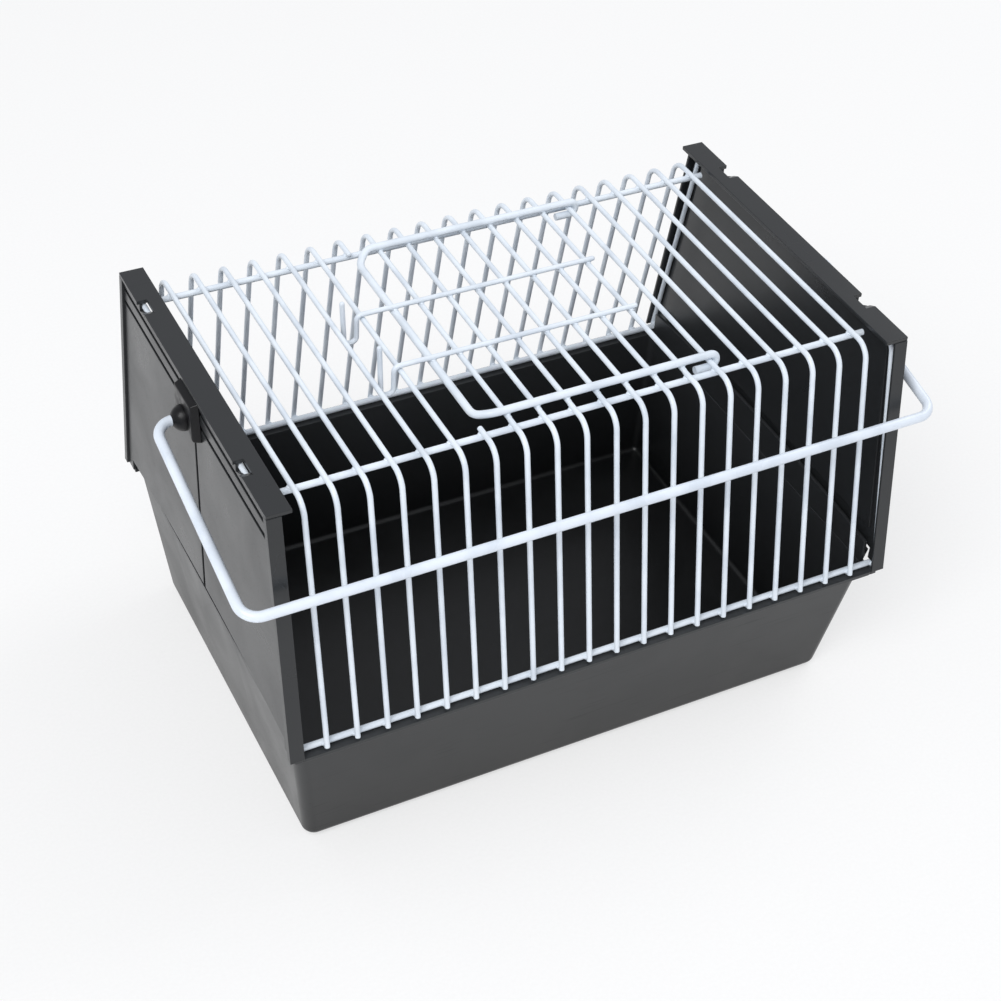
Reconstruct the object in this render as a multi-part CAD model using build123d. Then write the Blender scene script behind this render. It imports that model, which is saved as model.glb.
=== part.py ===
from build123d import *
import math
import os

# A small wire-top cage of the kind a parrot is carried in.
# It stands with its base on the plane z = 0 and the origin under the middle of its base.
# X runs along the length, the front faces -Y and +Z is up.
# Every length is in millimetres.

# Wire grid. Twenty-two bent wires stand at one pitch along the cage.
wire_pitch = 12.0
wire_count = 22
first_cut_wire = 7
last_cut_wire = 14
keeper_wire = first_cut_wire - 1
hinge_wire = last_cut_wire + 1
wire_radius = 1.05
wire_bend = 7.0
rail_radius = 1.25

# Heights of the cage. The rail height is the driving one.
rail_height = 66.6
roof_height = rail_height + 99.3
wire_foot_height = rail_height - 2.0
wire_foot_depth = 90.28
wire_lean = 0.191
top_rail_depth = 60.0
wire_nub = 1.9

# Tub: a tray with leaning walls and a ledge along the front and the back.
tub_bottom_length = 234.4
tub_bottom_depth = 151.4
tub_top_length = 249.6
tub_top_depth = 166.2
tub_bottom_corner = 12.0
tub_top_corner = 14.0
tub_wall = 2.2
tub_floor = 2.6
ledge_top = rail_height - 2.3
ledge_thickness = 2.6
ledge_length = 250.8
ledge_depth = 183.0
ledge_corner = 7.0
ledge_skirt_drop = 2.8
ledge_skirt_wall = 1.6
pocket_inner_x = 113.5
pocket_inner_y = 86.6

# End walls of the tub reach up behind the end panels, which lap over them.
upstand_wall = 2.0
upstand_half_width = 84.6
upstand_lean = 0.085
upstand_lap = 3.0

# End panels: a skin with a thicker field, turned-in lips and a strip along the top.
panel_skin_inner = 127.1
panel_skin_outer = 128.3
panel_field_inner = 126.0
panel_lip_inner = 123.5
panel_strip_inner = 121.0
panel_strip_outer = 129.1
panel_foot_height = rail_height - 1.1
panel_foot_half_depth = 92.5
panel_top_height = rail_height + 102.6
panel_lean = 0.1615
panel_strip_thickness = 1.6
panel_lip_wall = 1.3
seam_side_height = rail_height + 4.6
seam_middle_height = rail_height + 9.6
seam_half_width = 84.0
groove_heights = (rail_height + 90.0, rail_height + 96.4)
groove_width = 1.5
groove_depth = 0.8
groove_half_length = 73.0
notch_middle = 50.0
notch_length = 10.0
notch_depth = 4.0
notch_drop = 5.2

# Pivots of the carrying handle, one block and one knob on each end panel.
pivot_height = rail_height + 89.0
pivot_block_outer = 131.6
pivot_block_half_width = 14.0
pivot_block_top = rail_height + 100.6
pivot_block_side_low = rail_height + 83.6
pivot_block_middle_low = rail_height + 87.0
pivot_pin_radius = 2.0
pivot_bore_radius = 2.05
knob_middle = 132.6
knob_radius = 5.5
knob_flat = 129.7
knob_pocket_radius = 5.9
knob_pocket_floor = 129.3

# Carrying handle: one bent wire that rests leaning forward and down.
handle_radius = 2.0
handle_bend = 8.0
handle_pin_end = 126.4
handle_shoulder = 142.6
handle_corner = 140.0
handle_reach = 87.0
handle_drop = 18.0

# Roof door: a heavier frame wire, seven bars and two wires that end in spring catches.
door_radius = 1.5
door_half_depth = 55.4
door_left = -41.0
door_bend = 8.5
door_height = roof_height + 2.85
door_side_height = roof_height - 0.17
door_bar_height = roof_height + 0.28
door_bar_overhang = 2.1
door_tail = 6.0
latch_radius = 1.0
latch_depth = 17.0
latch_height = roof_height + 2.35
latch_right = 43.8
latch_limb = -56.6
latch_bend = 1.5
latch_loop = 1.6
latch_bottom = roof_height - 9.4
latch_tip_rear = roof_height + 10.2
latch_tip_front = roof_height + 13.4
latch_tip_lean = 0.9


def wire_x(index):
    """Place of one bent wire along the cage."""
    return (index - (wire_count - 1) / 2) * wire_pitch


def round_wire(path, radius):
    """A round wire of one radius drawn along a path."""
    section = Plane(origin=path @ 0, z_dir=path % 0) * Circle(radius)
    return sweep(section, path=path)


def save(shape, node):
    """Write one piece under its own name."""
    export_step(shape, os.path.join("parts", node + ".step"))


def tub_section(height, inset):
    """Rounded outline of the tub's outer wall at one height, drawn in by an inset."""
    share = height / (ledge_top - ledge_thickness)
    length = tub_bottom_length + share * (tub_top_length - tub_bottom_length) - 2 * inset
    depth = tub_bottom_depth + share * (tub_top_depth - tub_bottom_depth) - 2 * inset
    corner = tub_bottom_corner + share * (tub_top_corner - tub_bottom_corner) - inset
    return Plane.XY.offset(height) * RectangleRounded(length, depth, corner)


def seam_face(side_height, middle_height, half_width, low):
    """An upright face whose top edge is the shallow arch between tub and panel."""
    left = (-half_width, side_height)
    right = (half_width, side_height)
    arch = ThreePointArc(left, (0, middle_height), right)
    sides = Polyline(right, (half_width, low), (-half_width, low), left)
    return make_face(arch + sides)


def base_tub():
    """The tray: leaning walls, ledge with a skirt, corner pockets and arched end walls."""
    wall_top = ledge_top - ledge_thickness
    body = loft([tub_section(0, 0), tub_section(wall_top, 0)])
    ledge_face = RectangleRounded(ledge_length, ledge_depth, ledge_corner)
    body += extrude(Plane.XY.offset(wall_top) * ledge_face, amount=ledge_thickness)
    skirt_outer = RectangleRounded(ledge_length, ledge_depth, ledge_corner)
    inner_depth = ledge_depth - 2 * ledge_skirt_wall
    skirt_inner = Rectangle(ledge_length + 10, inner_depth)
    skirt = extrude(Plane.XY.offset(wall_top) * (skirt_outer - skirt_inner), amount=-ledge_skirt_drop)
    body += skirt
    cavity_top = ledge_top + 1
    body -= loft([tub_section(tub_floor, tub_wall), tub_section(cavity_top, tub_wall)])
    for side in (-1, 1):
        lean = Plane(
            origin=(side * ledge_length / 2, 0, ledge_top),
            x_dir=(0, side, 0),
            z_dir=(side, 0, -upstand_lean),
        )
        arch = seam_face(
            seam_side_height - ledge_top + upstand_lap,
            seam_middle_height - ledge_top + upstand_lap,
            upstand_half_width,
            -ledge_thickness / 2,
        )
        body += extrude(lean * arch, amount=-upstand_wall)
        for face in (-1, 1):
            width = ledge_length / 2 + 1 - pocket_inner_x
            depth = ledge_depth / 2 + 1 - pocket_inner_y
            height = ledge_thickness + ledge_skirt_drop + 2
            pocket = Box(width, depth, height)
            middle_x = side * (pocket_inner_x + width / 2)
            middle_y = face * (pocket_inner_y + depth / 2)
            middle_z = ledge_top + 1 - height / 2
            body -= Pos(middle_x, middle_y, middle_z) * pocket
    return body


def panel_half_depth(height):
    """Half the depth of an end panel at one height."""
    return panel_foot_half_depth - panel_lean * (height - panel_foot_height)


def panel_outline(inset, low, high):
    """The panel's upright outline between two heights, drawn in by an inset."""
    low_half = panel_half_depth(low) - inset
    high_half = panel_half_depth(high) - inset
    return Polygon((-low_half, low), (low_half, low), (high_half, high), (-high_half, high), align=None)


def right_panel():
    """The end panel at +X."""
    skin_plane = Plane.YZ.offset(panel_skin_inner)
    skin_wall = panel_skin_outer - panel_skin_inner
    skin = extrude(skin_plane * panel_outline(0, panel_foot_height, panel_top_height), amount=skin_wall)
    arch = seam_face(seam_side_height, seam_middle_height, seam_half_width, panel_foot_height - 1)
    skin -= extrude(skin_plane * arch, amount=skin_wall)

    lip_plane = Plane.YZ.offset(panel_lip_inner)
    lip_reach = panel_skin_inner - panel_lip_inner
    strip_low = panel_top_height - panel_strip_thickness
    rim = extrude(lip_plane * panel_outline(0, panel_foot_height, panel_top_height), amount=lip_reach)
    rim -= extrude(lip_plane * panel_outline(panel_lip_wall, panel_foot_height - 5, strip_low), amount=lip_reach)
    strip_plane = Plane.YZ.offset(panel_strip_inner)
    strip_reach = panel_strip_outer - panel_strip_inner
    strip = extrude(strip_plane * panel_outline(0, strip_low, panel_top_height), amount=strip_reach)
    body = skin + rim + strip

    field_low = seam_middle_height + 6
    field_high = strip_low - 5
    field_plane = Plane.YZ.offset(panel_field_inner)
    field = panel_outline(8, field_low, field_high)
    body += extrude(field_plane * field, amount=panel_skin_inner - panel_field_inner)

    for height in groove_heights:
        groove = Box(groove_depth * 2, groove_half_length * 2, groove_width)
        body -= Pos(panel_skin_outer, 0, height) * groove
    middle_high = groove_heights[0]
    middle_length = middle_high - seam_middle_height
    middle_groove = Box(groove_depth * 2, groove_width, middle_length)
    body -= Pos(panel_skin_outer, 0, middle_high - middle_length / 2) * middle_groove

    for face in (-1, 1):
        slant = notch_depth * 0.7
        near = notch_middle - notch_length / 2
        far = notch_middle + notch_length / 2
        notch = Polygon(
            (panel_strip_outer + 1, face * (near - slant)),
            (panel_strip_outer - notch_depth, face * near),
            (panel_strip_outer - notch_depth, face * far),
            (panel_strip_outer + 1, face * far),
            align=None,
        )
        low = Plane.XY.offset(panel_top_height - notch_drop)
        body -= extrude(low * notch, amount=notch_drop + 1, dir=(0, 0, 1))

    bore = Cylinder(pivot_bore_radius, 10, rotation=(0, 90, 0))
    body -= Pos(panel_skin_outer, 0, pivot_height) * bore
    return body


def right_pivot_block():
    """The block on the outer face of the end panel at +X that carries the handle."""
    wide = pivot_block_half_width
    left = (-wide, pivot_block_side_low)
    right = (wide, pivot_block_side_low)
    arch = ThreePointArc(left, (0, pivot_block_middle_low), right)
    top_half = wide - 1.5
    sides = Polyline(right, (top_half, pivot_block_top), (-top_half, pivot_block_top), left)
    reach = pivot_block_outer - panel_skin_outer
    block = extrude(Plane.YZ.offset(panel_skin_outer) * make_face(arch + sides), amount=reach, taper=12)
    pocket_depth = pivot_block_outer - knob_pocket_floor
    pocket = Cylinder(knob_pocket_radius, pocket_depth + 1, rotation=(0, 90, 0))
    block -= Pos(knob_pocket_floor + (pocket_depth + 1) / 2, 0, pivot_height) * pocket
    bore = Cylinder(pivot_bore_radius, 20, rotation=(0, 90, 0))
    block -= Pos(panel_skin_outer, 0, pivot_height) * bore
    return block


def right_knob():
    """The ball on the handle wire at +X, cut flat where it turns against its block."""
    ball = Pos(knob_middle, 0, pivot_height) * Sphere(knob_radius)
    inner_half = Box(20, 20, 20)
    ball -= Pos(knob_flat - 10, 0, pivot_height) * inner_half
    hole = Cylinder(handle_radius, 30, rotation=(0, 90, 0))
    ball -= Pos(knob_middle, 0, pivot_height) * hole
    return ball


def carry_handle():
    """One wire from pivot to pivot, in a plane that slopes down to the front."""
    reach = math.hypot(handle_reach, handle_drop)
    plane = Plane(
        origin=(0, 0, pivot_height),
        x_dir=(1, 0, 0),
        z_dir=(0, handle_drop, -handle_reach),
    )
    path = FilletPolyline(
        (-handle_pin_end, 0),
        (-handle_shoulder, 0),
        (-handle_corner, reach),
        (handle_corner, reach),
        (handle_shoulder, 0),
        (handle_pin_end, 0),
        radius=handle_bend,
    )
    return round_wire(plane * path, handle_radius)


def wire_side_point(index, face, height):
    """A point on the leaning stretch of one bent wire."""
    depth = wire_foot_depth - wire_lean * (height - wire_foot_height)
    return (wire_x(index), face * depth, height)


def full_wire(index):
    """A wire that rises, crosses the roof and comes down again."""
    path = FilletPolyline(
        wire_side_point(index, -1, wire_foot_height),
        wire_side_point(index, -1, roof_height),
        wire_side_point(index, 1, roof_height),
        wire_side_point(index, 1, wire_foot_height),
        radius=wire_bend,
    )
    return round_wire(path, wire_radius)


def cut_wire(index, face):
    """A wire that rises, turns over the roof's edge and ends at the door opening."""
    path = FilletPolyline(
        wire_side_point(index, face, wire_foot_height),
        wire_side_point(index, face, roof_height),
        (wire_x(index), face * (top_rail_depth - wire_nub), roof_height),
        radius=wire_bend,
    )
    return round_wire(path, wire_radius)


def rail(face, depth, height, half_length):
    """A straight rail along the cage, inside the bent wires."""
    path = Line((-half_length, face * depth, height), (half_length, face * depth, height))
    return round_wire(path, rail_radius)


def door_frame():
    """The heavy door wire: a hinge loop, the front, the left side, the back, a hinge loop."""
    hinge_x = wire_x(hinge_wire)
    loop = door_height - roof_height
    low = roof_height - loop
    edges = []
    for face in (-1, 1):
        depth = face * door_half_depth
        tail = Line((hinge_x - door_tail, depth, low), (hinge_x, depth, low))
        curl = ThreePointArc(
            (hinge_x, depth, low),
            (hinge_x + loop, depth, roof_height),
            (hinge_x, depth, door_height),
        )
        straight = Line((hinge_x, depth, door_height), (door_left + door_bend, depth, door_height))
        inner = depth - face * door_bend
        near = door_bend * (1 - math.sqrt(0.5))
        corner = Spline(
            (door_left + door_bend, depth, door_height),
            (door_left + near, depth - face * near, (door_height + door_side_height) / 2),
            (door_left, inner, door_side_height),
            tangents=((-1, 0, 0), (0, -face, 0)),
        )
        edges += [tail, curl, straight, corner]
    inner_depth = door_half_depth - door_bend
    edges.append(Line((door_left, -inner_depth, door_side_height), (door_left, inner_depth, door_side_height)))
    path = Wire([edge.edge() for edge in edges])
    return round_wire(path, door_radius)


def door_bar(index):
    """A straight bar under the door's front and back wires."""
    half = door_half_depth + door_bar_overhang
    path = Line((wire_x(index), -half, door_bar_height), (wire_x(index), half, door_bar_height))
    return round_wire(path, wire_radius)


def latch_wire(face, tip):
    """A wire across the door bars that bends down into a spring catch and up to a thumb tip."""
    depth = face * latch_depth
    outer = latch_limb - 2 * latch_loop
    path = FilletPolyline(
        (latch_right, depth, latch_height),
        (latch_limb, depth, latch_height),
        (latch_limb, depth, latch_bottom),
        (outer, depth, latch_bottom),
        (outer - latch_tip_lean, depth, tip),
        radius=latch_bend,
    )
    return round_wire(path, latch_radius)


os.makedirs("parts", exist_ok=True)

save(base_tub(), "base_tub")

panel = right_panel()
save(panel, "right_end_panel")
save(mirror(panel, about=Plane.YZ), "left_end_panel")

block = right_pivot_block()
save(block, "right_pivot_block")
save(mirror(block, about=Plane.YZ), "left_pivot_block")

knob = right_knob()
save(knob, "right_pivot_knob")
save(mirror(knob, about=Plane.YZ), "left_pivot_knob")

save(carry_handle(), "carry_handle")

for index in range(wire_count):
    number = f"{index + 1:02d}"
    if first_cut_wire <= index <= last_cut_wire:
        save(cut_wire(index, -1), "front_wire_" + number)
        save(cut_wire(index, 1), "back_wire_" + number)
    else:
        save(full_wire(index), "hoop_wire_" + number)

lower_rail_depth = wire_foot_depth - wire_lean * (rail_height - wire_foot_height) - wire_radius - rail_radius
upper_rail_height = roof_height - wire_radius - rail_radius
for name, face in (("front", -1), ("back", 1)):
    save(rail(face, lower_rail_depth, rail_height, 126.0), name + "_lower_rail")
    save(rail(face, top_rail_depth, upper_rail_height, 120.0), name + "_upper_rail")

save(door_frame(), "door_frame")
for index in range(first_cut_wire + 1, last_cut_wire + 1):
    save(door_bar(index), f"door_bar_{index - first_cut_wire}")
save(latch_wire(-1, latch_tip_front), "front_latch_wire")
save(latch_wire(1, latch_tip_rear), "rear_latch_wire")
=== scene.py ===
# %% [markdown]
# A small wire-top cage for carrying a parrot. It has a black moulded tub, two black end
# panels, a dome of white wires with a door in its roof, and a bent wire handle.
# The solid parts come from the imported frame, already in their places and in metres.
# Blender adds what a maker's drawing leaves out: the finish of each surface, the small
# rounding of moulded edges, the coating that gathers at the welds, and a studio to see it
# in. The tub, the end panels, the pivots and some wires are drawn again with truer
# outlines, each in the place of its solid.
# The frame is loaded first and its box is measured, because nothing may grow beyond it.

import math
import random

import bmesh
import bpy
from mathutils import Matrix, Vector


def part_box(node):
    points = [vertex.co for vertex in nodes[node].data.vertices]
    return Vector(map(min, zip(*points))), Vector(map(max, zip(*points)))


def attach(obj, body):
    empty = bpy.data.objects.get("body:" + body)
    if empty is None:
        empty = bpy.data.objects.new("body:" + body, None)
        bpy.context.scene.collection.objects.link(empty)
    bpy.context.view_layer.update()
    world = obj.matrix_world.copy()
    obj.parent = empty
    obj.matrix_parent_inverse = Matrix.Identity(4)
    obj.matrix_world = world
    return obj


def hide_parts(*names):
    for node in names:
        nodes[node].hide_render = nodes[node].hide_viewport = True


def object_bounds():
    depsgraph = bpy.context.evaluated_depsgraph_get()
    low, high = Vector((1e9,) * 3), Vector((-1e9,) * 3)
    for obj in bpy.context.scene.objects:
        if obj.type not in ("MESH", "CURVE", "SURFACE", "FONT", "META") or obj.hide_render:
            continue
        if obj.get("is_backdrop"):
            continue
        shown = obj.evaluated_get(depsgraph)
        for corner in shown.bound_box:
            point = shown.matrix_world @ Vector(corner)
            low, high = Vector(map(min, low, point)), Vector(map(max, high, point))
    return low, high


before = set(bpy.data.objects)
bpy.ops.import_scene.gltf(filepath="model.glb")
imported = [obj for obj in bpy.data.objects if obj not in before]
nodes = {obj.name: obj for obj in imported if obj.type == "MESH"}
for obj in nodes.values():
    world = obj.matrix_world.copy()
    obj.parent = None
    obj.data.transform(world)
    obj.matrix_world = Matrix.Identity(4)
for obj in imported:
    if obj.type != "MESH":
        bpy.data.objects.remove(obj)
cad_low, cad_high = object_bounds()

# %% [markdown]
# Colours are easiest to choose as the hex values that a colour picker shows, but a
# shader works with linear light. One function turns the first into the second.
# Lengths are easiest to think of in millimetres, and one value turns them into metres.

# %% Colours and lengths
mm = 0.001


def linear(hex_colour):
    """An sRGB colour such as #e8eef4 as linear red, green, blue and alpha."""
    shares = [int(hex_colour[start:start + 2], 16) / 255 for start in (1, 3, 5)]
    dark_end, dark_slope, lift, power = 0.04045, 12.92, 0.055, 2.4
    light = [s / dark_slope if s <= dark_end else ((s + lift) / (1 + lift)) ** power for s in shares]
    return (*light, 1.0)


print("middle grey in linear light", [round(c, 3) for c in linear("#808080")])

# %% [markdown]
# A material is a small tree of nodes. Writing each node by hand takes four or five lines,
# so one function makes any kind: it fills sockets and properties, and joins the inputs.
# Two names of sockets on a node can be the same, so a socket may be given by its number.

# %% A function that adds a node
def add_node(tree, kind, settings=None, links=None):
    """Add a node, fill its sockets or properties, and join its inputs to other outputs."""
    node = tree.nodes.new(kind)
    for name, value in (settings or {}).items():
        if isinstance(name, int) or name in node.inputs:
            node.inputs[name].default_value = value
        else:
            setattr(node, name, value)
    for name, output in (links or {}).items():
        tree.links.new(output, node.inputs[name])
    return node


def new_material(name):
    """An empty material, its node tree, and the place that a pattern is drawn from."""
    material = bpy.data.materials.new(name)
    material.use_nodes = True
    tree = material.node_tree
    tree.nodes.clear()
    place = add_node(tree, "ShaderNodeTexCoord").outputs["Object"]
    return material, tree, place


def colour_steps(tree, factor, steps):
    """A ramp of colours or greys over a factor. Steps are pairs of position and hex."""
    ramp = add_node(tree, "ShaderNodeValToRGB", links={"Fac": factor})
    elements = ramp.color_ramp.elements
    while len(elements) < len(steps):
        elements.new(0.5)
    for element, (position, hex_colour) in zip(elements, steps):
        element.position = position
        element.color = linear(hex_colour)
    return ramp.outputs["Color"]


# %% [markdown]
# The tub and the end panels are polypropylene, injection moulded in a steel tool that was
# lightly spark eroded. The eye sees a black that is never quite black, a satin gloss, a
# very fine grain, and soft cloudy changes of gloss where the plastic flowed and where
# hands rub it. The real grain is about 0.1 mm, too fine to show from here, so it is drawn
# at 0.45 mm. Handling leaves hair scratches of a few centimetres, drawn as a noise that is
# stretched along one direction. The rounded edges get a painted highlight, a lighter
# colour for the thin bright line that light makes on them, and an attribute on the
# rounded pieces says where those edges are.

# %% Moulded polypropylene
grain_mm = 0.45
flow_mm = 38.0
scratch_long_mm = 26.0
scratch_fine_mm = 0.7
# Share of the lighter colour in the painted highlight on the rounded edges.
painted_edge_highlight_share = 0.6
scratch_dulling = 0.12


def moulded_polypropylene(name, dark, pale, painted_highlight_hex, gloss_low, gloss_high):
    """Satin black moulded plastic, with a painted highlight on its rounded edges. Gloss is given as the
    lowest and highest roughness.
    """
    material, tree, place = new_material(name)
    flow = add_node(
        tree,
        "ShaderNodeTexNoise",
        {"Scale": 1 / (flow_mm * mm), "Detail": 3.0, "Roughness": 0.55, "Distortion": 0.6},
        {"Vector": place},
    )
    grain = add_node(
        tree,
        "ShaderNodeTexNoise",
        {"Scale": 1 / (grain_mm * mm), "Detail": 2.0, "Roughness": 0.6},
        {"Vector": place},
    )
    stretch = (1 / (scratch_long_mm * mm), 1 / (scratch_fine_mm * mm), 1 / (scratch_fine_mm * mm))
    along = add_node(
        tree,
        "ShaderNodeMapping",
        {"Rotation": (0.2, 0.35, 0.5), "Scale": stretch},
        {"Vector": place},
    )
    hairs = add_node(
        tree,
        "ShaderNodeTexNoise",
        {"Scale": 1.0, "Detail": 1.0},
        {"Vector": along.outputs["Vector"]},
    )
    scratch = colour_steps(tree, hairs.outputs["Fac"], [(0.66, "#000000"), (0.76, "#ffffff")])
    body_colour = colour_steps(tree, flow.outputs["Fac"], [(0.3, dark), (0.72, pale)])
    # Painted highlight: the rounded edge strips are mixed towards a lighter colour.
    edge = add_node(tree, "ShaderNodeAttribute", {"attribute_name": "painted_edge_highlight"})
    edge_share = add_node(
        tree,
        "ShaderNodeMath",
        {"operation": "MULTIPLY", 1: painted_edge_highlight_share},
        {0: edge.outputs["Fac"]},
    )
    painted_highlight_colour = add_node(
        tree,
        "ShaderNodeMix",
        {"data_type": "RGBA", 7: linear(painted_highlight_hex)},
        {0: edge_share.outputs[0], 6: body_colour},
    )
    gloss = add_node(
        tree,
        "ShaderNodeMapRange",
        {"From Min": 0.3, "From Max": 0.7, "To Min": gloss_low, "To Max": gloss_high},
        {"Value": flow.outputs["Fac"]},
    )
    scratched = add_node(
        tree,
        "ShaderNodeMath",
        {"operation": "MULTIPLY_ADD", 1: scratch_dulling},
        {0: scratch, 2: gloss.outputs["Result"]},
    )
    relief = add_node(
        tree,
        "ShaderNodeBump",
        {"Strength": 0.35, "Distance": 0.02 * mm},
        {"Height": grain.outputs["Fac"]},
    )
    surface = add_node(
        tree,
        "ShaderNodeBsdfPrincipled",
        {"IOR": 1.49, "Specular IOR Level": 0.42},
        {
            "Base Color": painted_highlight_colour.outputs[2],
            "Roughness": scratched.outputs[0],
            "Normal": relief.outputs["Normal"],
        },
    )
    add_node(tree, "ShaderNodeOutputMaterial", links={"Surface": surface.outputs["BSDF"]})
    return material


# The third colour of each plastic is its painted highlight on the rounded edges.
tub_finish = moulded_polypropylene(
    "moulded_polypropylene_tub", "#0c0d0e", "#151617", "#3a3c3e", 0.30, 0.40
)
panel_finish = moulded_polypropylene(
    "moulded_polypropylene_panel", "#0a0b0c", "#121314", "#36383a", 0.26, 0.36
)
print("plastics", tub_finish.name, panel_finish.name)

# %% [markdown]
# The pivot blocks and the knobs are nylon, moulded in a polished tool, because they have
# to turn and take the weight. The eye sees a deeper black and a sharper gleam than on the
# tub, with a dull ring where the parts rub. A noise of a few millimetres stands for that
# rubbing, and there is no grain.

# %% Moulded nylon
rub_mm = 3.0


def moulded_nylon():
    """Glossy black nylon with rubbed places."""
    material, tree, place = new_material("moulded_nylon_pivot")
    rub = add_node(
        tree,
        "ShaderNodeTexNoise",
        {"Scale": 1 / (rub_mm * mm), "Detail": 4.0},
        {"Vector": place},
    )
    gloss = add_node(
        tree,
        "ShaderNodeMapRange",
        {"From Min": 0.35, "From Max": 0.65, "To Min": 0.30, "To Max": 0.46},
        {"Value": rub.outputs["Fac"]},
    )
    shade = colour_steps(tree, rub.outputs["Fac"], [(0.35, "#060608"), (0.7, "#0d0d11")])
    surface = add_node(
        tree,
        "ShaderNodeBsdfPrincipled",
        {"IOR": 1.53, "Specular IOR Level": 0.3},
        {"Base Color": shade, "Roughness": gloss.outputs["Result"]},
    )
    add_node(tree, "ShaderNodeOutputMaterial", links={"Surface": surface.outputs["BSDF"]})
    return material


pivot_finish = moulded_nylon()
print("nylon", pivot_finish.name)

# %% [markdown]
# All the wire is mild steel, welded first and then coated with white polyester powder
# that melts into a skin in an oven. The eye sees a cool white, a soft gloss, and a faint
# orange peel, the gentle waviness of a powder that has flowed. Real orange peel on thin
# wire is about 1 mm wide, so it is drawn at 1.1 mm. A much larger noise changes the white
# a little from place to place, where the skin is thinner and the grey steel shows through.
# The handle is dipped and has a thicker and smoother skin, so its peel is 2.4 mm wide.

# %% Coated steel wire
cover_mm = 14.0


def coated_steel(name, white, thin, peel_mm, peel_depth_mm, roughness):
    """White powder coat on steel wire. Peel is the width and depth of its waviness."""
    material, tree, place = new_material(name)
    peel = add_node(
        tree,
        "ShaderNodeTexNoise",
        {"Scale": 1 / (peel_mm * mm), "Detail": 1.5},
        {"Vector": place},
    )
    cover = add_node(
        tree,
        "ShaderNodeTexNoise",
        {"Scale": 1 / (cover_mm * mm), "Detail": 3.0},
        {"Vector": place},
    )
    shade = colour_steps(tree, cover.outputs["Fac"], [(0.32, thin), (0.58, white)])
    gloss = add_node(
        tree,
        "ShaderNodeMapRange",
        {"To Min": roughness - 0.07, "To Max": roughness + 0.09},
        {"Value": cover.outputs["Fac"]},
    )
    relief = add_node(
        tree,
        "ShaderNodeBump",
        {"Strength": 0.5, "Distance": peel_depth_mm * mm},
        {"Height": peel.outputs["Fac"]},
    )
    surface = add_node(
        tree,
        "ShaderNodeBsdfPrincipled",
        {"IOR": 1.5, "Coat Weight": 0.15, "Coat Roughness": 0.2},
        {
            "Base Color": shade,
            "Roughness": gloss.outputs["Result"],
            "Normal": relief.outputs["Normal"],
        },
    )
    add_node(tree, "ShaderNodeOutputMaterial", links={"Surface": surface.outputs["BSDF"]})
    return material


wire_finish = coated_steel("powder_coated_wire", "#e6eef6", "#d5dee8", 1.1, 0.03, 0.34)
handle_finish = coated_steel("dip_coated_handle", "#e6eef8", "#d8e1ec", 2.4, 0.04, 0.28)
print("coated steel", wire_finish.name, handle_finish.name)

# %% [markdown]
# Most wires, the upper rails and the door's frame and bars have the right shape already,
# so they stay as they are and only get their finish. A loop over the frame's nodes gives
# every one a finish by the words in its name, and a wire that is drawn again further on
# takes its finish from the same table.

# %% Finish the nodes of the frame
slots_of_words = {
    "handle": (handle_finish, "handle_coating"),
    "wire": (wire_finish, "wire_coating"),
    "rail": (wire_finish, "wire_coating"),
    "door": (wire_finish, "wire_coating"),
    "knob": (pivot_finish, "pivot_plastic"),
    "block": (pivot_finish, "pivot_plastic"),
    "panel": (panel_finish, "panel_plastic"),
    "tub": (tub_finish, "tub_plastic"),
}


def finish_of(node_name):
    """The material and the slot name for a node, found by a word in its name."""
    return next(found for word, found in slots_of_words.items() if word in node_name)


for node_name, node in nodes.items():
    material, slot_name = finish_of(node_name)
    if not node.material_slots:
        node.data.materials.append(material)
    for material_slot in node.material_slots:
        material_slot.material = material
print("finished nodes", len(nodes))

# %% [markdown]
# A moulded part has no razor edges: the tool's corners are broken by a few tenths of a
# millimetre, and light catches on them as a thin bright line. A Bevel modifier could do
# it, but then nothing would know which faces are the edges. Here the sharp edges of a mesh
# are bevelled in mesh code, and the new strips get an attribute that the plastic's
# material reads as a painted highlight, a lighter colour along the edges. A weighted-normal
# modifier then keeps the flat faces flat.

# %% Helpers for moulded pieces
sharp_turn = math.radians(28)
flat_face_weight = 90


def round_edges(shape, width_mm):
    """Bevel every sharp edge of a mesh and mark the new strips for a painted highlight."""
    painted_highlight_layer = shape.verts.layers.float.new("painted_edge_highlight")
    bmesh.ops.recalc_face_normals(shape, faces=shape.faces)
    sharp = [e for e in shape.edges if e.is_manifold and e.calc_face_angle() > sharp_turn]
    made = bmesh.ops.bevel(
        shape,
        geom=sharp,
        offset=width_mm * mm,
        offset_type="OFFSET",
        segments=2,
        profile=0.6,
        clamp_overlap=True,
        affect="EDGES",
    )
    # The new strips are marked for the painted edge highlight.
    for face in made["faces"]:
        for vert in face.verts:
            vert[painted_highlight_layer] = 1.0
    bmesh.ops.triangulate(shape, faces=[f for f in shape.faces if len(f.verts) > 4])


def moulded_piece(name, shape, body, node_name, material):
    """Turn mesh code into a moulded piece that stands in for a node."""
    mesh = bpy.data.meshes.new(name)
    for face in shape.faces:
        face.smooth = True
    shape.to_mesh(mesh)
    shape.free()
    mesh.materials.append(material)
    piece = bpy.data.objects.new(name, mesh)
    bpy.context.scene.collection.objects.link(piece)
    evened = piece.modifiers.new("flat_faces_stay_flat", "WEIGHTED_NORMAL")
    evened.weight = flat_face_weight
    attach(piece, body)
    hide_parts(node_name)
    print(name, "faces", len(mesh.polygons))
    return piece


def prism(shape, outline, low, high, corner_of):
    """Add a closed prism. Its outline runs from one end to the other as corner_of says."""
    start = [shape.verts.new(corner_of(a, b, low)) for a, b in outline]
    end = [shape.verts.new(corner_of(a, b, high)) for a, b in outline]
    count = len(outline)
    for step in range(count):
        after = (step + 1) % count
        shape.faces.new((start[step], start[after], end[after], end[step]))
    shape.faces.new(list(reversed(start)))
    shape.faces.new(end)


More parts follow.
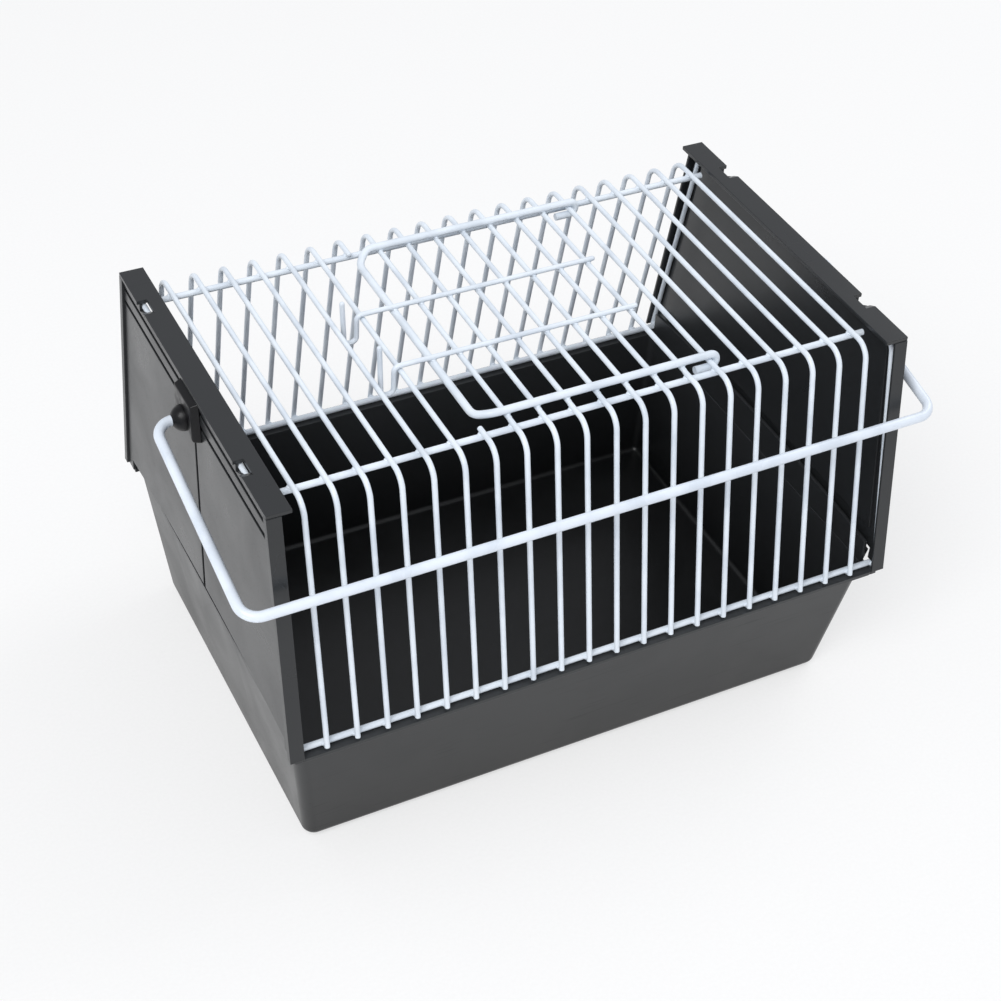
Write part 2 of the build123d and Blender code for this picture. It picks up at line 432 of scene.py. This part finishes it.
# %% [markdown]
# The tub of the photograph has tighter corners and a wider mouth than the solid in the
# frame, and its rim is a plain thin ledge. So it is drawn again here, at the same place.
# A tray is a stack of rounded rectangles: up the outside, over the ledge and down the
# inside to the floor. Every ring has the same number of points, so two rings that follow
# each other are joined by plain four-sided faces. The end walls rise above the ledge in a
# shallow arch, and a tongue of each goes up behind the end panel. Four small tabs close
# the gap under the panels' feet at the corners of the ledge.

# %% The tub
rim_mm = 66.6
foot_mm = (235.2, 156.0)
mouth_mm = (250.0, 172.7)
tub_corner_mm = 5.0
tub_wall_mm = 2.2
tub_floor_mm = 2.6
ledge_mm = (250.6, 183.0)
ledge_corner_mm = 2.5
ledge_low_mm = rim_mm - 4.9
ledge_high_mm = rim_mm - 3.2
seam_half_mm = 84.0
seam_side_mm = rim_mm + 2.6
seam_middle_mm = rim_mm + 6.6
corner_points = 7
least_corner_mm = 0.6
outer_fillet_mm = 4.0
inner_fillet_mm = 2.0
tongue_mm = (123.2, 124.6)
tongue_rise_mm = 5.0
shoulder_mm = (124.0, 125.0)
shoulder_rise_mm = -0.9
tab_mm = [(124.0, 84.7), (127.2, 84.7), (127.2, 90.6), (126.4, 91.4), (124.0, 91.4)]
tub_edge_mm = 0.35


def ring(shape, length, depth, corner, height):
    """One rounded rectangle of vertices at a height, all in millimetres."""
    verts = []
    for quarter, (side_x, side_y) in enumerate(((1, 1), (-1, 1), (-1, -1), (1, -1))):
        middle_x = side_x * (length / 2 - corner)
        middle_y = side_y * (depth / 2 - corner)
        for step in range(corner_points):
            angle = math.pi / 2 * (quarter + step / (corner_points - 1))
            x = middle_x + corner * math.cos(angle)
            y = middle_y + corner * math.sin(angle)
            verts.append(shape.verts.new((x * mm, y * mm, height * mm)))
    return verts


def tub_ring(shape, height, inset):
    """A ring on the leaning wall of the tub, drawn in by an inset."""
    share = height / ledge_low_mm
    sizes = zip(foot_mm, mouth_mm)
    length, depth = [foot + share * (mouth - foot) - 2 * inset for foot, mouth in sizes]
    return ring(shape, length, depth, max(tub_corner_mm - inset, least_corner_mm), height)


def seam_height(y):
    """Height of the arched seam between tub and panel at a place across the cage."""
    return seam_side_mm + (seam_middle_mm - seam_side_mm) * (1 - (y / seam_half_mm) ** 2)


def seam_points(first_y, last_y, rise):
    """Points along the seam's arch, raised by a rise."""
    steps = 12
    places = [first_y + (last_y - first_y) * step / steps for step in range(steps + 1)]
    return [(y, seam_height(y) + rise) for y in places]


def upright(side):
    """Say how an outline across the cage becomes a sheet that stands across its length."""
    return lambda y, z, x: (side * x * mm, y * mm, z * mm)


def flat_wise(side):
    """Say how an outline seen from above becomes a flat bar at one end of the cage."""
    return lambda x, y, z: (side * x * mm, y * mm, z * mm)


def end_wall(side):
    """Say how the end wall leans out above the ledge until it is flush with the panel."""
    lean = 0.3
    return lambda y, z, x: (side * (x + lean * max(0, z - ledge_low_mm)) * mm, y * mm, z * mm)


tub_shape = bmesh.new()
rings = []
fillet_steps = 5
for step in range(fillet_steps + 1):
    angle = math.pi / 2 * step / fillet_steps
    height = outer_fillet_mm * (1 - math.cos(angle))
    rings.append(tub_ring(tub_shape, height, outer_fillet_mm * (1 - math.sin(angle))))
rings.append(tub_ring(tub_shape, ledge_low_mm, 0))
rings.append(ring(tub_shape, *ledge_mm, ledge_corner_mm, ledge_low_mm))
rings.append(ring(tub_shape, *ledge_mm, ledge_corner_mm, ledge_high_mm))
rings.append(tub_ring(tub_shape, ledge_high_mm, tub_wall_mm))
for step in range(fillet_steps + 1):
    angle = math.pi / 2 * step / fillet_steps
    height = tub_floor_mm + inner_fillet_mm * (1 - math.sin(angle))
    inset = tub_wall_mm + inner_fillet_mm * (1 - math.cos(angle))
    rings.append(tub_ring(tub_shape, height, inset))
for below, above in zip(rings, rings[1:]):
    for step in range(len(below)):
        after = (step + 1) % len(below)
        tub_shape.faces.new((below[step], below[after], above[after], above[step]))
tub_shape.faces.new(list(reversed(rings[0])))
tub_shape.faces.new(rings[-1])
for side in (-1, 1):
    for sheet, half, rise, place in (
        (tongue_mm, seam_half_mm + 0.6, tongue_rise_mm, upright(side)),
        (shoulder_mm, seam_half_mm - 0.3, shoulder_rise_mm, end_wall(side)),
    ):
        arch = seam_points(-half, half, rise)
        prism(tub_shape, arch + [(half, ledge_low_mm), (-half, ledge_low_mm)], *sheet, place)
    for face in (-1, 1):
        outline = [(x, face * y) for x, y in tab_mm]
        prism(tub_shape, outline, ledge_low_mm + 0.05, ledge_high_mm + 0.1, flat_wise(side))
round_edges(tub_shape, tub_edge_mm)
moulded_piece("moulded_tub", tub_shape, "tub", "base_tub", tub_finish)

# %% [markdown]
# Each end panel is a sheet with raised borders in front and behind, turned-in lips, a
# strip along the top and three grooves in its field. A groove is easiest to get by leaving
# it out: the field is laid on the sheet as four tiles with gaps between them. The strip
# has two notches. Each has an upright wall behind and a floor that rises to the front, so
# the strip is one flat outline with the notches cut out, and a wedge for each rising floor.
# A thicker field backs the sheet inside, between the two lips that turn in.

# %% The end panels
foot_low_mm = rim_mm - 2.6
foot_half_mm = 92.48
panel_lean = 0.1615
strip_low_mm = rim_mm + 101.0
strip_high_mm = rim_mm + 102.6
sheet_mm = (127.1, 127.5)
field_outer_mm = 128.1
strip_mm = (119.6, 129.1)
border_width_mm = 3.0
border_profile = [(123.5, 0), (129.1, 0), (129.1, 3.0), (127.1, 3.0), (127.1, 1.1), (123.5, 1.1)]
groove_middle_y = -2.5
groove_half = 1.0
groove_heights_mm = (rim_mm + 90.0, rim_mm + 96.4)
notch_rear_ends = (55.0, -45.0)
notch_length_mm = 9.0
notch_drop_mm = 4.6
notch_inner_mm = 125.1
backing_inner_mm = 126.0
backing_inset_mm = 8.0
panel_edge_mm = 0.22


def half_depth(z):
    """Half the depth of an end panel at a height."""
    return foot_half_mm - panel_lean * (z - foot_low_mm)


def band(low, high, inset):
    """A band right across the panel between two heights."""
    low_y, high_y = half_depth(low) - inset, half_depth(high) - inset
    return [(-low_y, low), (low_y, low), (high_y, high), (-high_y, high)]


def notched_edge(top, floor):
    """The top edge of an upright sheet, from back to front, with the notches in it."""
    points = [(half_depth(top) - border_width_mm, top)]
    for rear_end in notch_rear_ends:
        slope = notch_length_mm / notch_drop_mm
        deepest = strip_high_mm - notch_drop_mm
        low = max(deepest, floor)
        points.append((rear_end, top))
        points.append((rear_end, low))
        if low > deepest:
            points.append((rear_end - (low - deepest) * slope, low))
        points.append((rear_end - (top - deepest) * slope, top))
    points.append((-half_depth(top) + border_width_mm, top))
    return points


def leaning(side, face):
    """Say how a profile of the border follows the panel's leaning edge."""
    return lambda x, inset, z: (side * x * mm, face * (half_depth(z) - inset) * mm, z * mm)


def end_panel(side):
    """The whole end panel at one end of the cage, as one mesh."""
    shape = bmesh.new()
    standing = upright(side)
    low_half = half_depth(foot_low_mm) - border_width_mm
    foot = [(seam_half_mm, seam_side_mm), (seam_half_mm, foot_low_mm), (low_half, foot_low_mm)]
    other_foot = [(-y, z) for y, z in reversed(foot)]
    arch = seam_points(-seam_half_mm, seam_half_mm, 0)
    sheet = arch + foot[1:] + notched_edge(strip_low_mm, 0) + other_foot[:-1]
    prism(shape, sheet, *sheet_mm, standing)
    groove_low = groove_heights_mm[0] - groove_half
    tile_high = half_depth(groove_low) - border_width_mm
    front_end = groove_middle_y - groove_half
    rear_end = groove_middle_y + groove_half
    front_tile = seam_points(-seam_half_mm, front_end, 0)
    front_tile += [(front_end, groove_low), (-tile_high, groove_low)] + other_foot[:-1]
    rear_tile = seam_points(rear_end, seam_half_mm, 0) + foot[1:]
    rear_tile += [(tile_high, groove_low), (rear_end, groove_low)]
    between_low = groove_heights_mm[0] + groove_half
    between_high = groove_heights_mm[1] - groove_half
    between = band(between_low, between_high, border_width_mm)
    top_low = groove_heights_mm[1] + groove_half
    top_half = half_depth(top_low) - border_width_mm
    top_tile = [(-top_half, top_low), (top_half, top_low)]
    top_tile += notched_edge(strip_low_mm, top_low + 0.3)
    for tile in (front_tile, rear_tile, between, top_tile):
        prism(shape, tile, sheet_mm[1], field_outer_mm, standing)
    backing = band(seam_middle_mm + 6, groove_heights_mm[1] + 1, backing_inset_mm)
    prism(shape, backing, backing_inner_mm, sheet_mm[0], standing)
    for face in (-1, 1):
        prism(shape, border_profile, foot_low_mm, strip_low_mm, leaning(side, face))
    strip_half = half_depth(strip_high_mm)
    strip = [(strip_mm[0], strip_half), (strip_mm[0], -strip_half), (strip_mm[1], -strip_half)]
    rise = (strip_high_mm - strip_low_mm) * notch_length_mm / notch_drop_mm
    for rear_end in reversed(notch_rear_ends):
        front_end = rear_end - notch_length_mm
        strip += [(strip_mm[1], front_end), (notch_inner_mm, front_end)]
        strip += [(notch_inner_mm, rear_end), (strip_mm[1], rear_end)]
        wedge = [(front_end, strip_low_mm), (front_end + rise, strip_low_mm)]
        wedge.append((front_end, strip_high_mm))
        prism(shape, wedge, notch_inner_mm, strip_mm[1], standing)
    strip.append((strip_mm[1], strip_half))
    prism(shape, strip, strip_low_mm, strip_high_mm, flat_wise(side))
    return shape


for side, side_name in ((-1, "left"), (1, "right")):
    panel_shape = end_panel(side)
    round_edges(panel_shape, panel_edge_mm)
    node_name = side_name + "_end_panel"
    moulded_piece("moulded_" + node_name, panel_shape, "cage", node_name, panel_finish)

# %% [markdown]
# The pivot of the photograph is smaller than the solids: a block about 21 mm wide with an
# arched lower edge, and a ball of 10 mm that sits deeper in it. The block is a prism that
# grows narrower outwards. The ball is a fine sphere without a hole, because the handle's
# wire fills the place where it goes through.

# %% The pivot blocks and their knobs
pivot_mm = rim_mm + 89.0
block_inner_mm = 127.9
block_outer_mm = 131.4
block_half_mm = 10.5
block_top_half_mm = 9.0
block_top_mm = pivot_mm + 11.4
block_side_low_mm = pivot_mm - 5.4
block_arch_mm = 3.4
block_narrowing = 0.35
block_edge_mm = 0.6
knob_middle_mm = 131.2
knob_radius_mm = 5.0


def block_place(side):
    """Say how the block's outline shrinks towards its outer face."""
    def place(y, z, x):
        share = 1 - block_narrowing * (x - block_inner_mm) / block_half_mm
        return (side * x * mm, y * share * mm, (pivot_mm + (z - pivot_mm) * share) * mm)
    return place


for side, side_name in ((-1, "left"), (1, "right")):
    steps = 10
    low_arch = []
    for step in range(steps + 1):
        y = block_half_mm * (1 - 2 * step / steps)
        low_arch.append((y, block_side_low_mm + block_arch_mm * (1 - (y / block_half_mm) ** 2)))
    outline = [(-block_top_half_mm, block_top_mm), (block_top_half_mm, block_top_mm)] + low_arch
    block_shape = bmesh.new()
    prism(block_shape, outline, block_inner_mm, block_outer_mm, block_place(side))
    round_edges(block_shape, block_edge_mm)
    node_name = side_name + "_pivot_block"
    moulded_piece("moulded_" + node_name, block_shape, "cage", node_name, pivot_finish)
    ball = bmesh.new()
    ball_place = Matrix.Translation((side * knob_middle_mm * mm, 0, pivot_mm * mm))
    ball_radius = knob_radius_mm * mm
    bmesh.ops.create_uvsphere(ball, u_segments=40, v_segments=24, radius=ball_radius, matrix=ball_place)
    ball.verts.layers.float.new("painted_edge_highlight")
    node_name = side_name + "_pivot_knob"
    moulded_piece("moulded_" + node_name, ball, "handle", node_name, pivot_finish)

# %% [markdown]
# Some wires of the photograph were bent a little otherwise than the solids: the lower
# rails lie deeper, the handle's left leg stands further out, and the spring catches are
# rounder. A wire is a circle swept along a path, and a path is a row of corners with a
# bend at each. One function turns corners into points, and one sweeps the circle, turning
# it from each point to the next by the smallest angle, so that the tube never twists.

# %% Helpers for bent wires
def bent_path(corners, bend):
    """Points along straight runs that are joined by round bends of one radius."""
    points = [Vector(corners[0])]
    for before, corner, after in zip(corners, corners[1:], corners[2:]):
        corner = Vector(corner)
        inward = (Vector(before) - corner).normalized()
        outward = (Vector(after) - corner).normalized()
        half_angle = inward.angle(outward) / 2
        run = bend / math.tan(half_angle)
        middle = corner + (inward + outward).normalized() * bend / math.sin(half_angle)
        first, last = corner + inward * run - middle, corner + outward * run - middle
        steps = 10
        for step in range(steps + 1):
            points.append(middle + first.slerp(last, step / steps).normalized() * bend)
    points.append(Vector(corners[-1]))
    return points


def wire_piece(name, points_mm, radius_mm, body, node_name):
    """Sweep a circle along points, close its ends with low domes, and replace a node."""
    shape = bmesh.new()
    around = 20
    points = [point * mm for point in points_mm]
    radius = radius_mm * mm
    ways = [(b - a).normalized() for a, b in zip(points, points[1:])]
    tangents = [ways[0]] + [(a + b).normalized() for a, b in zip(ways, ways[1:])] + [ways[-1]]
    side = tangents[0].orthogonal().normalized()
    stations = []
    for point, tangent, last in zip(points, tangents, [tangents[0]] + tangents):
        side = last.rotation_difference(tangent) @ side
        stations.append((point, tangent, side.copy(), 1.0))
    dome_steps = 4
    domes = [math.pi / 2 * step / dome_steps for step in range(dome_steps - 1, 0, -1)]
    for end, way in ((0, -1), (-1, 1)):
        point, tangent, end_side, _ = stations[end]
        dome = [
            (point + tangent * way * radius * math.sin(a), tangent, end_side, math.cos(a))
            for a in domes
        ]
        stations = dome + stations if end == 0 else stations + list(reversed(dome))
    rings = []
    for point, tangent, ring_side, share in stations:
        other = tangent.cross(ring_side)
        turns = [math.tau * step / around for step in range(around)]
        reach = radius * share
        spokes = [ring_side * math.cos(t) + other * math.sin(t) for t in turns]
        rings.append([shape.verts.new(point + spoke * reach) for spoke in spokes])
    for low_ring, high_ring in zip(rings, rings[1:]):
        for step in range(around):
            after = (step + 1) % around
            shape.faces.new((low_ring[step], low_ring[after], high_ring[after], high_ring[step]))
    shape.faces.new(list(reversed(rings[0])))
    shape.faces.new(rings[-1])
    material, slot_name = finish_of(node_name)
    piece = mesh_piece(name, shape, body, material)
    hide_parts(node_name)
    return piece


def mesh_piece(name, shape, body, material):
    """Turn mesh code into a smooth piece that rides on a body."""
    mesh = bpy.data.meshes.new(name)
    for face in shape.faces:
        face.smooth = True
    shape.to_mesh(mesh)
    shape.free()
    mesh.materials.append(material)
    piece = bpy.data.objects.new(name, mesh)
    bpy.context.scene.collection.objects.link(piece)
    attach(piece, body)
    print(name, "faces", len(mesh.polygons))
    return piece


def middle_of(node_name):
    """The middle of a node's box."""
    low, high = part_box(node_name)
    return (low + high) / 2


# %% [markdown]
# The lower rails keep the solids' place across the cage and end inside the panels. The
# handle's pins stay on the solids' pivot line. The catch wires keep their long straight
# run over the door, and only the spring loop and the tip at their left end differ.

# %% The rails, the handle and the catch wires
rail_drop_mm = 1.6
rail_half_mm = 125.0
rail_radius_mm = 1.25
for face_name in ("front", "back"):
    node_name = face_name + "_lower_rail"
    place = middle_of(node_name) / mm
    ends = [Vector((x, place.y, rim_mm - rail_drop_mm)) for x in (-rail_half_mm, rail_half_mm)]
    wire_piece("coated_" + node_name, ends, rail_radius_mm, "cage", node_name)

right_front_mm = (-87.0, pivot_mm - 18.0)
left_front_mm = (-88.0, pivot_mm - 18.2)
pin_end_mm = 129.2
left_leg_mm = -142.3
handle_bend_mm = 7.0
handle_radius_mm = 2.0
handle_corners = [
    (-pin_end_mm, 0, pivot_mm),
    (left_leg_mm, 0, pivot_mm),
    (left_leg_mm, *left_front_mm),
    (140.6, *right_front_mm),
    (141.4, 0, pivot_mm),
    (pin_end_mm, 0, pivot_mm),
]
handle_path = bent_path(handle_corners, handle_bend_mm)
wire_piece("coated_carry_handle", handle_path, handle_radius_mm, "handle", "carry_handle")

roof_mm = rim_mm + 99.3
catch_loop_mm = 5.0
catch_right_mm = 43.8
catch_limb_mm = -56.6
catch_run_mm = roof_mm + 2.35
catch_bottom_mm = roof_mm - 9.4
catch_tip_lean_mm = 0.9
catch_bend_mm = 2.2
catch_radius_mm = 1.0
for catch, tip_mm in (("front", roof_mm + 12.4), ("rear", roof_mm + 9.2)):
    node_name = catch + "_latch_wire"
    catch_y = middle_of(node_name).y / mm
    outer_limb = catch_limb_mm - catch_loop_mm
    catch_corners = [
        (catch_right_mm, catch_y, catch_run_mm),
        (catch_limb_mm, catch_y, catch_run_mm),
        (catch_limb_mm, catch_y, catch_bottom_mm),
        (outer_limb, catch_y, catch_bottom_mm),
        (outer_limb - catch_tip_lean_mm, catch_y, tip_mm),
    ]
    catch_path = bent_path(catch_corners, catch_bend_mm)
    wire_piece("coated_" + node_name, catch_path, catch_radius_mm, "door", node_name)

# %% [markdown]
# Where two wires cross they were pressed together hot and spot welded, and the powder
# then gathered in the corner between them. From a hand's width away each crossing shows a
# small soft swelling, longer along the wires than across them. Joining metaballs could
# make it, but their size is hard to hold. Here a fine ball is drawn out along both wires
# and pressed flat between them, and every crossing of a body goes into one mesh.

# %% Helpers for the coating at the welds
random.seed(7)
wire_radius = 1.05 * mm
rail_radius = rail_radius_mm * mm
door_radius = 1.5 * mm


def weld_swelling(shape, place, along_a, along_b, reach, thick):
    """Add one swelling at a crossing of two wires that run along the two directions."""
    a, b = Vector(along_a).normalized(), Vector(along_b).normalized()
    across = a.cross(b).normalized()
    made = bmesh.ops.create_icosphere(shape, subdivisions=3, radius=1.0)
    turn = random.uniform(-0.2, 0.2)
    for vert in made["verts"]:
        part_a, part_b, part_n = vert.co
        drawn = 0.62 + 0.38 * (part_a ** 4 + part_b ** 4) + 0.08 * math.sin(3 * part_a + turn)
        flat = part_n * thick * (1 - 0.25 * (part_a ** 2 + part_b ** 2))
        vert.co = Vector(place) + (a * part_a + b * part_b) * reach * drawn + across * flat


# %% [markdown]
# The places of the crossings follow from the frame: twenty-two bent wires stand at one
# pitch, each crosses a lower and an upper rail on every side that it has, and the rails
# lie inside. Reading the places from the nodes' boxes keeps the swellings on the wires,
# and only the lower rails' height comes from the rails as they are drawn again.

# %% Coating at the welds of the cage
wire_kinds = ("hoop_wire", "front_wire", "back_wire")
cage_wires = sorted(name for name in nodes if name.startswith(wire_kinds))
weld_reach = 1.75 * mm
weld_thick = 0.85 * mm
cage_welds = bmesh.new()
for face_name, outward in (("front", -1), ("back", 1)):
    lower_rail = middle_of(face_name + "_lower_rail")
    upper_rail = middle_of(face_name + "_upper_rail")
    for name in cage_wires:
        if name.startswith(("front_wire", "back_wire")) and not name.startswith(face_name):
            continue
        x = middle_of(name).x
        low_place = (x, lower_rail.y + outward * rail_radius, (rim_mm - rail_drop_mm) * mm)
        high_place = (x, upper_rail.y, upper_rail.z + rail_radius)
        weld_swelling(cage_welds, low_place, (0, 0, 1), (1, 0, 0), weld_reach, weld_thick)
        weld_swelling(cage_welds, high_place, (0, 1, 0), (1, 0, 0), weld_reach, weld_thick)
mesh_piece("cage_weld_coating", cage_welds, "cage", wire_finish)

# %% [markdown]
# On the door the seven bars lie under the frame's front and back wires, and the two latch
# wires lie over the bars and over the frame's left wire.

# %% Coating at the welds of the door
door_welds = bmesh.new()
door_low, door_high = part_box("door_frame")
door_bars = sorted(name for name in nodes if name.startswith("door_bar"))
bar_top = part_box(door_bars[0])[1].z
thin_wire_share = 0.9
thin_reach = weld_reach * thin_wire_share
thin_thick = weld_thick * thin_wire_share
for name in door_bars:
    bar_x = middle_of(name).x
    for edge_y in (door_low.y + door_radius, door_high.y - door_radius):
        place = (bar_x, edge_y, bar_top)
        weld_swelling(door_welds, place, (0, 1, 0), (1, 0, 0), weld_reach, weld_thick)
    for latch in ("front_latch_wire", "rear_latch_wire"):
        place = (bar_x, middle_of(latch).y, bar_top)
        weld_swelling(door_welds, place, (0, 1, 0), (1, 0, 0), thin_reach, thin_thick)
frame_left_x = door_low.x + door_radius
for latch in ("front_latch_wire", "rear_latch_wire"):
    place = (frame_left_x, middle_of(latch).y, bar_top)
    weld_swelling(door_welds, place, (0, 1, 0), (1, 0, 0), weld_reach, weld_thick)
mesh_piece("door_weld_coating", door_welds, "door", wire_finish)

# %% [markdown]
# Powder draws back into a small bead on the cut end of a wire, so no end looks sawn. A
# half ball pressed to half its height does this, made as rings that close to a point.

# %% Beads on the cut ends
def end_bead(shape, place, direction, radius, height):
    """Add a low dome on a wire's end, its open side against the end."""
    outward = Vector(direction).normalized()
    side = outward.orthogonal().normalized()
    other = outward.cross(side)
    ring_count, around = 5, 20
    last = None
    for ring in range(ring_count):
        angle = math.pi / 2 * ring / ring_count
        middle = Vector(place) + outward * height * math.sin(angle)
        reach = radius * math.cos(angle)
        turns = [math.tau * step / around for step in range(around)]
        verts = [
            shape.verts.new(middle + (side * math.cos(t) + other * math.sin(t)) * reach)
            for t in turns
        ]
        if last:
            for step in range(around):
                after = (step + 1) % around
                shape.faces.new((last[step], last[after], verts[after], verts[step]))
        else:
            first = verts
        last = verts
    tip = shape.verts.new(Vector(place) + outward * height)
    for step in range(around):
        shape.faces.new((last[step], last[(step + 1) % around], tip))
    shape.faces.new(list(reversed(first)))


bead_height = 0.55 * mm
cage_ends = bmesh.new()
for name in cage_wires:
    if name.startswith("hoop_wire"):
        continue
    low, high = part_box(name)
    inward = 1 if name.startswith("front_wire") else -1
    end_y = high.y if inward > 0 else low.y
    place = (middle_of(name).x, end_y, high.z - wire_radius)
    end_bead(cage_ends, place, (0, inward, 0), wire_radius, bead_height)
mesh_piece("cage_end_beads", cage_ends, "cage", wire_finish)

door_ends = bmesh.new()
for name in door_bars:
    low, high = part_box(name)
    for end_y, way in ((low.y, -1), (high.y, 1)):
        place = (middle_of(name).x, end_y, bar_top - wire_radius)
        end_bead(door_ends, place, (0, way, 0), wire_radius, bead_height)
mesh_piece("door_end_beads", door_ends, "door", wire_finish)

# %% [markdown]
# The studio is a white table before a white backdrop, as for a catalogue picture.
# One large flat plane is enough for the table, since the camera looks down on it. Its
# material is a pale matt board; for the camera and for reflections a share of plain white
# is laid over it, so that the background is white while the object's shadow still shows.

# %% The table
floor_half = 6.0
floor_mesh = bpy.data.meshes.new("studio_table")
corners = [(-floor_half, -floor_half, 0), (floor_half, -floor_half, 0)]
corners += [(floor_half, floor_half, 0), (-floor_half, floor_half, 0)]
floor_mesh.from_pydata(corners, [], [(0, 1, 2, 3)])
floor = bpy.data.objects.new("studio_table", floor_mesh)
bpy.context.scene.collection.objects.link(floor)
floor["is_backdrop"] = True

board, tree, place = new_material("matt_white_board")
fibre_mm = 1.5
white_share = 0.6
fibre = add_node(tree, "ShaderNodeTexNoise", {"Scale": 1 / (fibre_mm * mm)}, {"Vector": place})
board_colour = colour_steps(tree, fibre.outputs["Fac"], [(0.3, "#f1f1f1"), (0.7, "#f6f6f6")])
matt = add_node(
    tree,
    "ShaderNodeBsdfPrincipled",
    {"Roughness": 0.9, "IOR": 1.2},
    {"Base Color": board_colour},
)
plain_white = add_node(tree, "ShaderNodeEmission", {"Color": (1, 1, 1, 1), "Strength": 1.0})
ray = add_node(tree, "ShaderNodeLightPath")
seen = add_node(
    tree,
    "ShaderNodeMath",
    {"operation": "MAXIMUM"},
    {0: ray.outputs["Is Camera Ray"], 1: ray.outputs["Is Glossy Ray"]},
)
share = add_node(tree, "ShaderNodeMath", {"operation": "MULTIPLY", 1: white_share}, {0: seen.outputs[0]})
mixed = add_node(
    tree,
    "ShaderNodeMixShader",
    links={0: share.outputs[0], 1: matt.outputs["BSDF"], 2: plain_white.outputs["Emission"]},
)
add_node(tree, "ShaderNodeOutputMaterial", links={"Surface": mixed.outputs["Shader"]})
floor_mesh.materials.append(board)
print("table half width in m", floor_half)

# %% [markdown]
# Soft light comes from everywhere in a white room. The world gives that part, and a large
# square lamp above the front left gives the light a direction, so that the wires shade
# from one side to the other. A weaker lamp on the right keeps the far panel readable. All
# are kept so low that a colour renders about as written.

# %% The light
world = bpy.data.worlds.new("white_room")
world.use_nodes = True
bpy.context.scene.world = world
tree = world.node_tree
tree.nodes.clear()
room = add_node(tree, "ShaderNodeBackground", {"Color": linear("#f4f6fb"), "Strength": 0.62})
backdrop = add_node(tree, "ShaderNodeBackground", {"Color": (1, 1, 1, 1), "Strength": 1.0})
ray = add_node(tree, "ShaderNodeLightPath")
lit = add_node(
    tree,
    "ShaderNodeMixShader",
    links={
        0: ray.outputs["Is Camera Ray"],
        1: room.outputs["Background"],
        2: backdrop.outputs["Background"],
    },
)
add_node(tree, "ShaderNodeOutputWorld", links={"Surface": lit.outputs["Shader"]})


def soft_lamp(name, place, aim, width, power):
    """A square softbox that points at a place."""
    lamp = bpy.data.lights.new(name, "AREA")
    lamp.shape = "SQUARE"
    lamp.size = width
    lamp.energy = power
    holder = bpy.data.objects.new(name, lamp)
    holder.location = place
    holder.rotation_mode = "QUATERNION"
    holder.rotation_quaternion = (Vector(aim) - Vector(place)).to_track_quat("-Z", "Y")
    bpy.context.scene.collection.objects.link(holder)
    print(name, "power in W", power)


cage_middle = (0, 0, 0.08)
softbox_width = 0.9
soft_lamp("key_softbox", (-0.9, -0.7, 1.5), cage_middle, softbox_width, 18)
soft_lamp("fill_softbox", (1.2, 0.3, 1.2), cage_middle, softbox_width, 6)

# %% [markdown]
# The camera stands in front, to the left and above, and is rolled a few degrees, as the
# picture was. Its direction is given as two angles, and its three axes are worked out
# from them, which leaves nothing to a constraint.

# %% The camera
turn = math.radians(29.255)
drop = math.radians(41.175)
roll = math.radians(4.055)
sensor_mm = 36.0
lens_mm = 70.16
camera_place = Vector((-0.29417, -0.52669, 0.59841))
looks = Vector((math.sin(turn) * math.cos(drop), math.cos(turn) * math.cos(drop), -math.sin(drop)))
level = Vector((math.cos(turn), -math.sin(turn), 0))
upward = level.cross(looks)
right = level * math.cos(roll) + upward * math.sin(roll)
up = upward * math.cos(roll) - level * math.sin(roll)

camera_data = bpy.data.cameras.new("catalogue_camera")
camera_data.sensor_width = sensor_mm
camera_data.lens = lens_mm
camera = bpy.data.objects.new("catalogue_camera", camera_data)
axes = Matrix((right, up, -looks)).transposed().to_4x4()
camera.matrix_world = Matrix.Translation(camera_place) @ axes
bpy.context.scene.collection.objects.link(camera)
bpy.context.scene.camera = camera
bpy.context.scene.view_settings.view_transform = "Standard"
print("camera at", [round(c, 3) for c in camera_place])

# %% [markdown]
# Last, the growth of the dressed cage beyond the drawing's box is printed for each axis.
# The dressed cage has to stay inside the drawing's box.

# %% Write the sizes and finish
dressed_low, dressed_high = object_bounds()
growth = [max(cad_low[i] - dressed_low[i], dressed_high[i] - cad_high[i]) * 1000 for i in range(3)]
print("growth beyond the drawing in mm", [round(g, 3) for g in growth])
